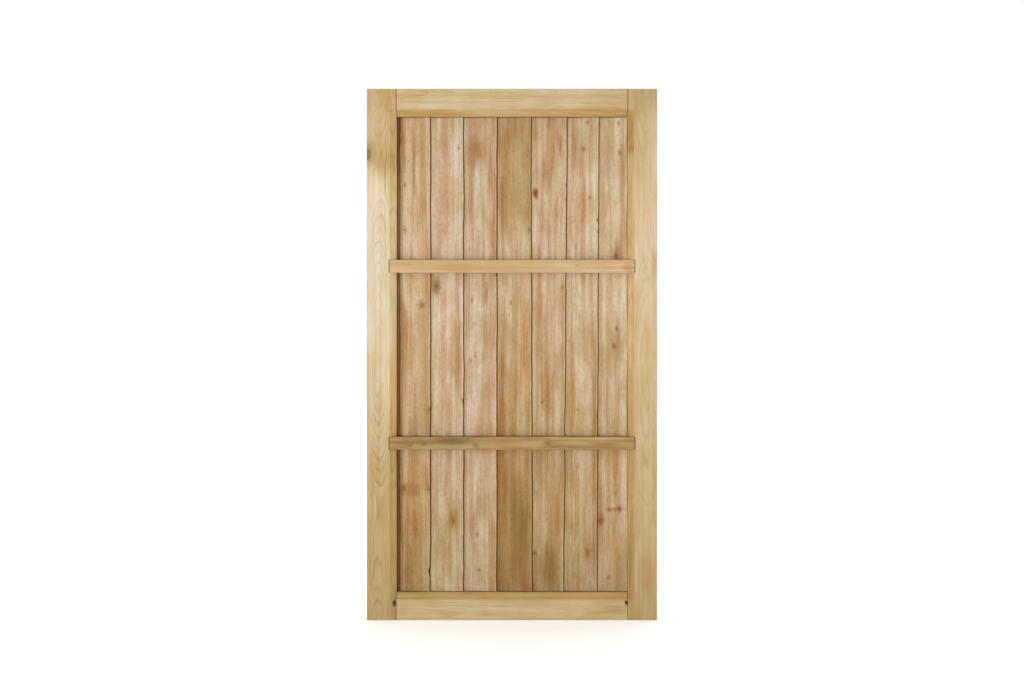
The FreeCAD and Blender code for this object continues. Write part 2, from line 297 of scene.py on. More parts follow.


# a frame timber's chamfer, its inner arris with painted shade and dirt, and painted shade in the rebate
# behind it
def chamferLayers(tree, wood, across, depth):
    start = wood["chamferStart"] * mm
    arris = start + frameEdge["chamferWidth"] * mm
    rebate, rebateFull = [d * mm for d in frameEdge["rebate"]]
    front, frontFull = [d * mm for d in frameEdge["front"]]
    inward = addNode(tree, "ShaderNodeMath", {0: across, 1: wood["opening"]}, operation="MULTIPLY")
    past = addNode(tree, "ShaderNodeMapRange", {0: inward, 1: start - 0.5 * mm, 2: start + 1.5 * mm})
    below = addNode(tree, "ShaderNodeMapRange", {0: depth, 1: 0.2 * mm, 2: 1.5 * mm})
    above = addNode(tree, "ShaderNodeMapRange", {0: depth, 1: front, 2: frontFull, 3: 1.0, 4: 0.0})
    both = addNode(tree, "ShaderNodeMath", {0: past, 1: below}, operation="MULTIPLY")
    onChamfer = addNode(tree, "ShaderNodeMath", {0: both, 1: above}, operation="MULTIPLY")
    # darker by the chamfer's inner arris, where the boards meet it: painted shade and dirt
    byArrisShadeAndDirt = addNode(tree, "ShaderNodeMapRange", {0: inward, 1: arris - 5 * mm, 2: arris - mm,
                                                   3: 0.0, 4: wood["arrisShadeAndDirt"]})
    # the rebate's walls behind the chamfer are darkened: painted shade in the recess
    inRebate = addNode(tree, "ShaderNodeMapRange", {0: depth, 1: rebate, 2: rebateFull})
    dark = addNode(tree, "ShaderNodeMath", {0: inRebate, 1: onChamfer}, operation="MULTIPLY")
    return [(onChamfer, wood["chamferTint"], "MULTIPLY"), (byArrisShadeAndDirt, "#a88c60", "MULTIPLY"),
            (dark, wood["rebateShadeTint"], "MULTIPLY")]


# weather and dirt in the joint where a rail or ledge meets the stile
def jointLayer(tree, shoulder, lengthwise):
    end = addNode(tree, "ShaderNodeMath", {0: lengthwise}, operation="ABSOLUTE")
    nearEnd = addNode(tree, "ShaderNodeMapRange", {0: end, 1: (shoulder - 3.2) * mm,
                                                   2: (shoulder - 1) * mm, 3: 0.0, 4: 0.95})
    short = addNode(tree, "ShaderNodeMath", {0: end, 1: (shoulder + 1) * mm}, operation="LESS_THAN")
    joint = addNode(tree, "ShaderNodeMath", {0: nearEnd, 1: short}, operation="MULTIPLY")
    return joint, "#644a2c", "MULTIPLY"


# planed or sawn pine, pressure treated: satin to matt, honey and olive, with grain from its own rings
def timberMaterial(name, wood):
    wood = {**pine, **wood}
    material, tree = newMaterial(name)
    where = addNode(tree, "ShaderNodeTexCoord").outputs["Object"]
    world = addNode(tree, "ShaderNodeSeparateXYZ", {0: where}).outputs
    side, along = ("X", "Z") if wood["upright"] else ("Z", "X")
    across = addNode(tree, "ShaderNodeMath", {0: world[side], 1: wood["centre"] * mm},
                     operation="SUBTRACT")
    depth = addNode(tree, "ShaderNodeMath", {0: world["Y"], 1: gateBack}, operation="SUBTRACT")
    shift = wood["log"] * logSpacing
    lengthwise = addNode(tree, "ShaderNodeMath", {0: world[along], 1: shift}, operation="ADD")
    plain = addNode(tree, "ShaderNodeCombineXYZ", {"X": across, "Y": depth, "Z": lengthwise})

    def spot(x, z):
        u, v = (x, z) if wood["upright"] else (z, x)
        return ((u - wood["centre"]) * mm, 0, v * mm + shift)

    grain, lift, core, halo = plain, 0.0, 0.0, 0.0
    for x, z, size in wood["knots"]:
        knot = addNode(tree, "ShaderNodeGroup",
                       {"plain": plain, "grain": grain, "lift": lift, "core": core, "halo": halo,
                        "place": spot(x, z), "size": size * mm}, node_tree=knotGroup)
        grain, lift = knot.outputs["grain"], knot.outputs["lift"]
        core, halo = knot.outputs["core"], knot.outputs["halo"]
    growth = {part: wood[part] * mm for part in ("pithAcross", "pithDeep", "bow", "bowLength",
                                                 "ringWidth", "wander")}
    late = addNode(tree, "ShaderNodeGroup",
                   {"grain": grain, "lift": lift, "bowCentre": wood["bowCentre"] * mm + shift, **growth},
                   node_tree=ringGroup)

    # the ground colour changes slowly along the piece
    slow = stretchedNoise(tree, plain, (14, 14, 2.2), Detail=3.0)
    length = wood["end"] - wood["start"]
    alongShare = addNode(tree, "ShaderNodeMapRange", {0: world[along], 1: wood["start"] * mm,
                                                      2: wood["end"] * mm, 3: -0.05, 4: 0.95})
    coaxed = addNode(tree, "ShaderNodeMath", {0: slow, 1: 0.1, 2: alongShare}, operation="MULTIPLY_ADD")
    ground = addNode(tree, "ShaderNodeValToRGB", {0: coaxed})
    # tones are the piece's average look, so the ground is lightened by what the layers take away
    taken = [1.0, 1.0, 1.0]
    for tint, cover in (("streakTint", 0.45), ("fibreTint", 0.75), ("cloudTint", 0.5),
                        ("mottleTint", 0.45), ("lateTint", 0.2 * wood["lateAmount"])):
        taken = [kept * (1 - cover * (1 - part)) for kept, part in zip(taken, linear(wood[tint]))]
    taken = [kept * (olive + blush) / 2 for kept, olive, blush
             in zip(taken, linear(wood["oliveTint"]), linear(wood["blushTint"]))]
    setStops(ground, [((place - wood["start"]) / length,
                       [part / kept for part, kept in zip(linear(tone), taken)] + [1.0])
                      for place, tone in wood["tones"]])
    colour = ground.outputs["Color"]
    for x, z, spreadX, spreadZ, tint, amount in wood["stains"]:
        spread = (spreadX, spreadZ) if wood["upright"] else (spreadZ, spreadX)
        stain = addNode(tree, "ShaderNodeGroup",
                        {"plain": grain, "colour": colour, "tint": linear(tint), "place": spot(x, z),
                         "spread": (spread[0] * mm, 1, spread[1] * mm), "amount": amount},
                        node_tree=stainGroup)
        colour = stain.outputs["colour"]

    layers, figure = figureLayers(tree, wood, grain, late, slow)
    if wood["knots"]:
        for mask, part, blend in ((halo, "halo", "MULTIPLY"), (core, "core", "MIX")):
            amount = addNode(tree, "ShaderNodeMath", {0: mask, 1: wood[part + "Amount"]},
                             operation="MULTIPLY")
            layers.append((amount, wood[part + "Tint"], blend))
    if "opening" in wood:
        layers += chamferLayers(tree, wood, across, depth)
    if "shoulder" in wood:
        layers.append(jointLayer(tree, wood["shoulder"], world[along]))
    # end grain drinks the preservative and is darker
    facing = addNode(tree, "ShaderNodeSeparateXYZ",
                     {0: addNode(tree, "ShaderNodeNewGeometry").outputs["True Normal"]})
    endOn = addNode(tree, "ShaderNodeMath", {0: facing.outputs[along]}, operation="ABSOLUTE")
    endShare = addNode(tree, "ShaderNodeMapRange", {0: endOn, 1: 0.8, 2: 0.95, 3: 0.0, 4: 0.8})
    layers.append((endShare, "#cfb286", "MULTIPLY"))

    height = addNode(tree, "ShaderNodeMath", {0: late, 1: 0.35, 2: figure["fibre"]},
                     operation="MULTIPLY_ADD")
    if wood["sawn"]:
        sawnLayers, height = sawnSurface(tree, plain, world["Z"], height)
        layers += sawnLayers
    colour = layColours(tree, colour, layers)
    bump = addNode(tree, "ShaderNodeBump", {"Strength": wood["bumpStrength"],
                                            "Distance": wood["bumpDepth"] * mm, "Height": height})
    satin, dull = wood["roughness"]
    matt = addNode(tree, "ShaderNodeMapRange", {0: figure["fine"], 1: 0.3, 2: 0.7, 3: satin, 4: dull})
    shader = addNode(tree, "ShaderNodeBsdfPrincipled",
                     {"Base Color": colour, "Roughness": matt, "Normal": bump, "IOR": 1.5,
                      "Specular IOR Level": wood["specular"]})
    addNode(tree, "ShaderNodeOutputMaterial", {"Surface": shader})
    return material


# band-sawn face: kerf marks about 3 mm apart across the grain, raised hairs, and painted shade with dirt
# beside each lap
def sawnSurface(tree, plain, upward, height):
    kerf = stretchedNoise(tree, plain, (9, 9, 330), Detail=1.5)
    hair = stretchedNoise(tree, plain, (700, 700, 60), Detail=3.0)
    patch = stretchedNoise(tree, plain, (9, 9, 7), Detail=1.0)
    marked = addNode(tree, "ShaderNodeMapRange", {0: patch, 1: 0.45, 2: 0.65, 3: 0.05, 4: 0.5})
    # pin knots and specks of grit, sparse, about 2 mm
    speckSpace = addNode(tree, "ShaderNodeVectorMath", {0: plain, 1: (42, 42, 22)}, operation="MULTIPLY")
    speck = addNode(tree, "ShaderNodeTexVoronoi", {"Vector": speckSpace, "Scale": 1.0, "Randomness": 1.0})
    chance = addNode(tree, "ShaderNodeSeparateColor", {0: speck.outputs["Color"]})
    size = addNode(tree, "ShaderNodeMapRange", {0: chance, 1: 0.72, 2: 1.0, 3: 0.0, 4: 0.075})
    inside = addNode(tree, "ShaderNodeMath", {0: size, 1: speck.outputs["Distance"]},
                     operation="SUBTRACT")
    speckShare = addNode(tree, "ShaderNodeMapRange", {0: inside, 1: -0.03, 2: 0.03, 3: 0.0, 4: 0.55})
    # painted shade and dirt where the neighbour laps over, a paler new-sawn edge, and a dark line of
    # painted shade and dirt along its very rim
    onBack, fromJoint, fromEdge = [
        addNode(tree, "ShaderNodeAttribute", attribute_name=name).outputs["Fac"]
        for name in ("backFace", "fromJoint", "fromEdge")]
    shares = []
    for distance, near, far, most in ((fromJoint, 1.4, 5.4, 0.95), (fromEdge, 2, 8, 0.2)):
        fading = addNode(tree, "ShaderNodeMapRange", {0: distance, 1: near * mm, 2: far * mm,
                                                      3: most, 4: 0.0}, interpolation_type="SMOOTHSTEP")
        shares.append(addNode(tree, "ShaderNodeMath", {0: fading, 1: onBack}, operation="MULTIPLY"))
    # the rim is darkened to widen the shadow line at the step: painted shade and dirt
    rim = addNode(tree, "ShaderNodeMapRange", {0: fromEdge, 1: 0.2 * mm, 2: 1.6 * mm, 3: 0.6, 4: 0.0})
    layers = [(speckShare, "#7d5836", "MIX"), (shares[0], "#805f34", "MULTIPLY"),
              (shares[1], "#c9ad85", "MIX"), (rim, "#805c30", "MULTIPLY")]
    # painted shade and dirt in the corner on top of each ledge
    for ledge, most in (("upper_ledge", 0.4), ("lower_ledge", 0.6)):
        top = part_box(ledge)[1].z
        corner = addNode(tree, "ShaderNodeMapRange", {0: upward, 1: top + 3 * mm, 2: top + 1.2 * mm,
                                                      3: 0.0, 4: most})
        above = addNode(tree, "ShaderNodeMath", {0: upward, 1: top}, operation="GREATER_THAN")
        ledgeTopBand = addNode(tree, "ShaderNodeMath", {0: corner, 1: above}, operation="MULTIPLY")
        ledgeTopShadeAndDirt = addNode(tree, "ShaderNodeMath", {0: ledgeTopBand, 1: onBack}, operation="MULTIPLY")
        layers.append((ledgeTopShadeAndDirt, "#7a6348", "MULTIPLY"))
    rough = addNode(tree, "ShaderNodeMath", {0: kerf, 1: marked, 2: height}, operation="MULTIPLY_ADD")
    rougher = addNode(tree, "ShaderNodeMath", {0: hair, 1: 0.5, 2: rough}, operation="MULTIPLY_ADD")
    return layers, rougher


# frame and ledges: planed timbers
leftStile = {
    "log": 11, "centre": -448, "pithAcross": -12, "pithDeep": 46, "bow": 17, "bowCentre": 290,
    "bowLength": 1250, "ringWidth": 4.2, "wander": 24, "lateAmount": 0.5,
    "opening": 1, "chamferStart": 26.5, "chamferTint": "#ffffe6", "rebateShadeTint": "#b89c74",
    "tones": [(20, "#9d8556"), (140, "#9f8557"), (400, "#a4885a"), (560, "#a4885a"), (680, "#ad956e"),
              (900, "#b9a481"), (1050, "#baa686"), (1420, "#bfab8c"), (1500, "#bfac8a"),
              (1600, "#ac9366"), (1700, "#b0946c"), (1815, "#aa8d5e")],
    "knots": [(-497, 1604, 13)], "coreTint": "#5f4a2c", "coreAmount": 0.85, "haloTint": "#c2a878",
    "stains": [(-440, 1575, 60, 45, "#b3995f", 0.6), (-405, 40, 30, 60, "#8f7848", 0.5),
               (-409, 1690, 14, 110, "#cbb097", 0.8), (-409, 775, 14, 230, "#cbad81", 0.8),
               # the last stain is a dark patch in the chip's hollow: painted shade
               (-406, 58, 7, 14, "#4a3018", 0.85)],
}
rightStile = {
    "log": 12, "centre": 448, "pithAcross": 14, "pithDeep": 70, "bow": 14, "bowCentre": 1500,
    "bowLength": 1400, "ringWidth": 4, "wander": 30, "lateAmount": 0.36,
    "opening": -1, "chamferStart": 26.5, "chamferTint": "#fdf4de", "rebateShadeTint": "#bfa47c",
    "tones": [(20, "#9d8254"), (140, "#a68d64"), (400, "#a78e64"), (560, "#ab9369"), (760, "#b19770"),
              (900, "#b39c73"), (1100, "#b9a37d"), (1300, "#bca681"), (1420, "#b9a37c"),
              (1600, "#b79f78"), (1700, "#ae976b"), (1815, "#a38a60")],
    "stains": [(410, 1629, 14, 22, "#a4764a", 0.7), (490, 1230, 16, 60, "#a98d62", 0.5),
               (460, 150, 40, 90, "#9d8158", 0.4), (409, 1060, 14, 260, "#d2c6b8", 0.8),
               (409, 190, 14, 150, "#a49061", 0.8), (409, 1690, 14, 90, "#b49661", 0.8)],
}
topRail = {
    "log": 13, "upright": False, "centre": 1782, "start": -400, "end": 400, "pithAcross": 34,
    "pithDeep": 62, "bow": 7, "bowCentre": -60, "bowLength": 1100, "ringWidth": 3.4, "wander": 15,
    "lateAmount": 0.34, "opening": -1, "chamferStart": 22.5, "chamferTint": "#f2e8cc",
    "rebateShadeTint": "#ffffff", "shoulder": 399.5,
    "tones": [(-380, "#b09a72"), (-160, "#b19b76"), (60, "#af9771"), (240, "#b19770"), (380, "#a98e63")],
    "stains": [(-290, 1746, 150, 13, "#b39c68", 0.8), (300, 1746, 110, 13, "#c6bba0", 0.8)],
}
bottomRail = {
    "log": 14, "upright": False, "centre": 48, "start": -400, "end": 400, "pithAcross": -30,
    "pithDeep": 80, "bow": 6, "bowCentre": 100, "bowLength": 1200, "ringWidth": 3.6, "wander": 15,
    # the arris share darkens the rail's inner arris by the board ends: painted shade and dirt
    "lateAmount": 0.34, "opening": 1, "chamferStart": 22.5, "chamferTint": "#f8e8c1", "arrisShadeAndDirt": 0.15,
    "rebateShadeTint": "#ffffff", "shoulder": 399.5,
    "tones": [(-380, "#a69265"), (-160, "#ab966d"), (60, "#a99268"), (240, "#ac9469"), (380, "#a89065")],
    # the last stain is a dark patch in the chip's hollow: painted shade
    "stains": [(345, 40, 50, 20, "#a68c60", 0.5), (394, 59, 8, 10, "#4a3018", 0.8)],
}
upperLedge = {
    "log": 15, "upright": False, "centre": 1218.5, "start": -424, "end": 424, "shoulder": 424,
    "pithAcross": -50, "pithDeep": 45, "bow": 4, "ringWidth": 3.2, "wander": 16,
    "tones": [(-400, "#ae9064"), (-160, "#ae8f61"), (0, "#ab8d5f"), (160, "#ad9166"), (280, "#b59873"),
              (400, "#b79b75")],
    "knots": [(225, 1221, 2)],
    "stains": [(405, 1215, 30, 18, "#bb8f58", 0.7)],
}
lowerLedge = {
    "log": 16, "upright": False, "centre": 608.5, "start": -424, "end": 424, "shoulder": 424,
    "pithAcross": -45, "pithDeep": 30, "bow": 5, "ringWidth": 3.4, "wander": 22, "coreTint": "#5d4527",
    "tones": [(-400, "#8a6d3b"), (-160, "#866b40"), (-60, "#937547"), (40, "#997b4c"), (240, "#957848"),
              (400, "#917343")],
    "knots": [(-302, 606, 3.5), (-351, 602, 3), (-123, 601, 3.5), (122, 610, 5)],
    "cloudTint": "#e9dcc0", "streakTint": "#ead9ba", "lateAmount": 0.7,
    "stains": [(-210, 616, 70, 14, "#7f6a3a", 0.7), (200, 598, 130, 6, "#8a6638", 0.6),
               (-20, 594, 90, 7, "#b8925f", 0.6), (-370, 606, 40, 14, "#866a3c", 0.5),
               (60, 624, 110, 7, "#8d7444", 0.5), (330, 606, 60, 9, "#93713f", 0.5)],
}
planed = {"left_stile": leftStile, "right_stile": rightStile, "top_rail": topRail,
          "bottom_rail": bottomRail, "upper_ledge": upperLedge, "lower_ledge": lowerLedge}


def finishMesh(piece, weld=0.0):
    work = bmesh.new()
    work.from_mesh(piece.data)
    if weld:
        bmesh.ops.remove_doubles(work, verts=work.verts, dist=weld)
    for face in work.faces:
        face.smooth = True
    for edge in work.edges:
        edge.smooth = len(edge.link_faces) == 2 and edge.calc_face_angle(0) < sharpAngle
    work.to_mesh(piece.data)
    work.free()


def bake(piece):
    graph = bpy.context.evaluated_depsgraph_get()
    mesh = bpy.data.meshes.new_from_object(piece.evaluated_get(graph))
    piece.modifiers.clear()
    piece.data = mesh


def newPiece(name, mesh):
    piece = bpy.data.objects.new(name, mesh)
    bpy.context.scene.collection.objects.link(piece)
    return piece


def declare(piece, nodes):
    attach(piece, "root")
    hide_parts(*nodes)


# a torn-out splinter, as a lump to be cut from a timber
def splinter(place, size):
    work = bmesh.new()
    bmesh.ops.create_icosphere(work, subdivisions=3, radius=1.0)
    for vert in work.verts:
        rough = 0.75 + 0.5 * noise.noise(vert.co * 2.3 + Vector(place) * 40)
        vert.co = Vector(place) + Vector(s * c * rough for s, c in zip(size, vert.co))
    mesh = bpy.data.meshes.new("splinter")
    work.to_mesh(mesh)
    work.free()
    return newPiece("splinter", mesh)


chips = {      # centre x, depth, z and half sizes, mm
    "left_stile": [((-405, 1, 59), (5.5, 9, 14))],
    "bottom_rail": [((394, 1, 60), (6.5, 9, 9))],
}
for node, wood in planed.items():
    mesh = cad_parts[node].data.copy()
    first, second = node.split("_")
    piece = newPiece(first + second.capitalize() + "Timber", mesh)
    mesh.materials.clear()
    mesh.materials.append(timberMaterial("planedPine." + node, wood))
    finishMesh(piece, weld=0.02 * mm)
    lumps = [splinter([place[0] * mm, gateBack + place[1] * mm, place[2] * mm], [s * mm for s in size])
             for place, size in chips.get(node, [])]
    for lump in lumps:
        cut = piece.modifiers.new("chip", "BOOLEAN")
        cut.object = lump
        cut.operation = "DIFFERENCE"
    weighted = piece.modifiers.new("normals", "WEIGHTED_NORMAL")
    weighted.keep_sharp = True
    bake(piece)
    declare(piece, [node])
    for lump in lumps:
        bpy.data.objects.remove(lump)
print("frame and ledges made")


# boards: feather-edged, rough sawn, drawn by one tree of nodes
def makeWaveGroup():
    # how far a sawn edge strays sideways at a height
    tree, given, result = newGroup("sawnEdge", "GeometryNodeTree",
                                   {"height": "Float", "seed": "Float", "stray": "Float"},
                                   {"sideways": "Float"})
    total = 0.0
    for scale, weight in ((4.5, 2.6), (22.0, 1.1), (110.0, 0.35)):
        along = addNode(tree, "ShaderNodeMath", {0: given["seed"], 1: 7.31, 2: given["height"]},
                        operation="MULTIPLY_ADD")
        wave = addNode(tree, "ShaderNodeTexNoise", {"W": along, "Scale": scale, "Detail": 1.0},
                       noise_dimensions="1D")
        middle = addNode(tree, "ShaderNodeMath", {0: wave, 1: 0.5}, operation="SUBTRACT")
        total = addNode(tree, "ShaderNodeMath", {0: middle, 1: weight, 2: total},
                        operation="MULTIPLY_ADD")
    sideways = addNode(tree, "ShaderNodeMath", {0: total, 1: given["stray"]}, operation="MULTIPLY")
    tree.links.new(sideways.outputs[0], result.inputs["sideways"])
    return tree


boardSizes = ["footLeft", "footRight", "headLeft", "headRight", "footZ", "headZ", "backLeft",
              "backRight", "thickLeft", "thickRight", "footJoint", "headJoint", "jointSeed", "seed",
              "stray", "relief", "cup"]


def makeBoardTree():
    tree, given, result = newGroup("featherEdgedBoard", "GeometryNodeTree",
                                   {**{label: "Float" for label in boardSizes}, "wood": "Material"},
                                   {"board": "Geometry"})
    # points lie about 5 mm apart, across and up
    block = addNode(tree, "GeometryNodeMeshCube", {"Size": (1, 1, 1), "Vertices X": 26, "Vertices Y": 3,
                                                   "Vertices Z": 330})
    unit = addNode(tree, "ShaderNodeSeparateXYZ", {0: addNode(tree, "GeometryNodeInputPosition")})
    u, s, v = [addNode(tree, "ShaderNodeMath", {0: unit.outputs[i], 1: 0.5}, operation="ADD")
               for i in range(3)]

    def between(share, first, last):
        return addNode(tree, "ShaderNodeMapRange", {0: share, 3: given[first], 4: given[last]})

    waveGroup = makeWaveGroup()
    height = between(v, "footZ", "headZ")
    edges = []
    for first, last, seed, extra in (("footLeft", "headLeft", "seed", 0.37),
                                     ("footRight", "headRight", "seed", 0.0),
                                     ("footJoint", "headJoint", "jointSeed", 0.0)):
        own = addNode(tree, "ShaderNodeMath", {0: given[seed], 1: extra}, operation="ADD")
        wave = addNode(tree, "GeometryNodeGroup", {"height": height, "seed": own,
                                                   "stray": given["stray"]}, node_tree=waveGroup)
        straight = between(v, first, last)
        edges.append(addNode(tree, "ShaderNodeMath", {0: straight, 1: wave}, operation="ADD"))
    x = addNode(tree, "ShaderNodeMapRange", {0: u, 3: edges[0], 4: edges[1]})
    back = between(u, "backLeft", "backRight")
    thick = between(u, "thickLeft", "thickRight")

    # cupping lifts both edges towards the ledges; relief is the torn, furry sawn face
    centred = addNode(tree, "ShaderNodeMath", {0: u, 1: 0.5}, operation="SUBTRACT")
    squared = addNode(tree, "ShaderNodeMath", {0: centred, 1: centred}, operation="MULTIPLY")
    hollow = addNode(tree, "ShaderNodeMath", {0: squared, 1: -4.0, 2: 1.0}, operation="MULTIPLY_ADD")
    cupped = addNode(tree, "ShaderNodeMath", {0: hollow, 1: given["cup"], 2: back},
                     operation="MULTIPLY_ADD")
    spot = addNode(tree, "ShaderNodeCombineXYZ", {"X": x, "Y": given["seed"], "Z": height})
    fur = stretchedNoise(tree, spot, (90, 9, 8), Detail=3.0)
    torn = addNode(tree, "ShaderNodeMath", {0: fur, 1: given["relief"], 2: cupped},
                   operation="MULTIPLY_ADD")
    y = addNode(tree, "ShaderNodeMath", {0: thick, 1: s, 2: torn}, operation="MULTIPLY_ADD")

    # the ends were cut by hand, a little out of square
    endSpace = addNode(tree, "ShaderNodeCombineXYZ", {"X": x, "Y": given["seed"]})
    endCut = addNode(tree, "ShaderNodeTexNoise", {"Vector": endSpace, "Scale": 12.0})
    vCentred = addNode(tree, "ShaderNodeMath", {0: v, 1: 0.5}, operation="SUBTRACT")
    shorter = addNode(tree, "ShaderNodeMath", {0: vCentred, 1: endCut}, operation="MULTIPLY")
    z = addNode(tree, "ShaderNodeMath", {0: shorter, 1: -0.001, 2: height}, operation="MULTIPLY_ADD")

    place = addNode(tree, "ShaderNodeCombineXYZ", {"X": x, "Y": y, "Z": z})
    fromJoint = addNode(tree, "ShaderNodeMath", {0: x, 1: edges[2]}, operation="SUBTRACT")
    fromEdge = addNode(tree, "ShaderNodeMath", {0: edges[1], 1: x}, operation="SUBTRACT")
    onBack = addNode(tree, "ShaderNodeMath", {0: 1.0, 1: s}, operation="SUBTRACT")
    shape = block
    for label, value in (("fromJoint", fromJoint), ("fromEdge", fromEdge), ("backFace", onBack)):
        shape = addNode(tree, "GeometryNodeStoreNamedAttribute",
                        {"Geometry": shape, "Name": label, "Value": value},
                        data_type="FLOAT", domain="POINT")
    shaped = addNode(tree, "GeometryNodeSetPosition", {"Geometry": shape, "Position": place})
    real = addNode(tree, "GeometryNodeRealizeInstances", {"Geometry": shaped})
    wooden = addNode(tree, "GeometryNodeSetMaterial", {"Geometry": real, "Material": given["wood"]})
    tree.links.new(wooden.outputs[0], result.inputs["board"])
    return tree


def setInputs(modifier, values):
    for item in modifier.node_group.interface.items_tree:
        if item.in_out == "INPUT" and item.name in values:
            modifier[item.identifier] = values[item.name]


# the corners of a board as it was designed: its edges at foot and head, and its depths
def boardCorners(node):
    near = 0.5 * mm
    points = [v.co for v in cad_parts[node].data.vertices]
    corners = {}
    for end, corner in zip(("foot", "head"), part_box(node)):
        row = [p for p in points if abs(p.z - corner.z) < near]
        corners[end + "Z"] = corner.z
        for side, x in (("Left", min(p.x for p in row)), ("Right", max(p.x for p in row))):
            depths = sorted(p.y for p in row if abs(p.x - x) < near)
            corners[end + side] = x
            corners["back" + side], corners["thick" + side] = depths[0], depths[-1] - depths[0]
    return corners


# a bite out of a board's edge where a knot or a splinter has gone
def nickEdge(mesh, x, z, size):
    for vert in mesh.vertices:
        far = math.hypot((vert.co.x - x * mm) / (size * mm), (vert.co.z - z * mm) / (size * 1.8 * mm))
        if far < 1:
            vert.co.y += (1 - far) ** 1.5 * size * 0.35 * mm
            vert.co.x -= (1 - far) * size * 0.55 * mm


